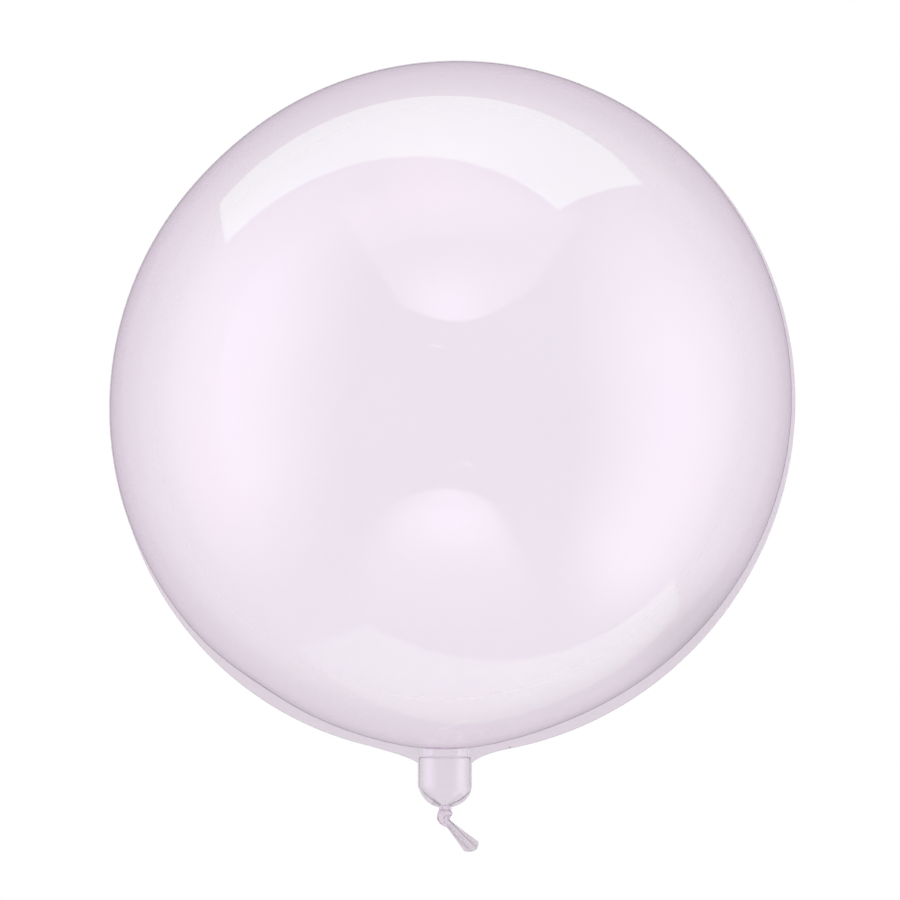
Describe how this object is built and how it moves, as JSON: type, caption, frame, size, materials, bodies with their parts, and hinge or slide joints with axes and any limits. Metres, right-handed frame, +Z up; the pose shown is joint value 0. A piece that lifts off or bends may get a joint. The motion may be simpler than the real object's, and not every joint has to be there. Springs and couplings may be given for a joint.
{
  "type": "clear bubble balloon",
  "caption": "Clear, faintly lilac bubble balloon: a glossy film ball with a flat weld flange, a short folded neck, a knot and a pleated tail, lying on a small flat spot.",
  "frame": {"origin": "middle of the small flat spot on the underside that the balloon lies on", "axes": "+Z up through the ball, the weld level, -Y towards the neck and knot, +X to the right seen from above with the neck pointing down the page"},
  "size_m": [0.5105, 0.5886, 0.5054],
  "materials": {
    "film": "glossy clear film with a faint lilac tint"
  },
  "bodies": {
    "root": {"bubble_balloon": "film"}
  },
  "joints": []
}
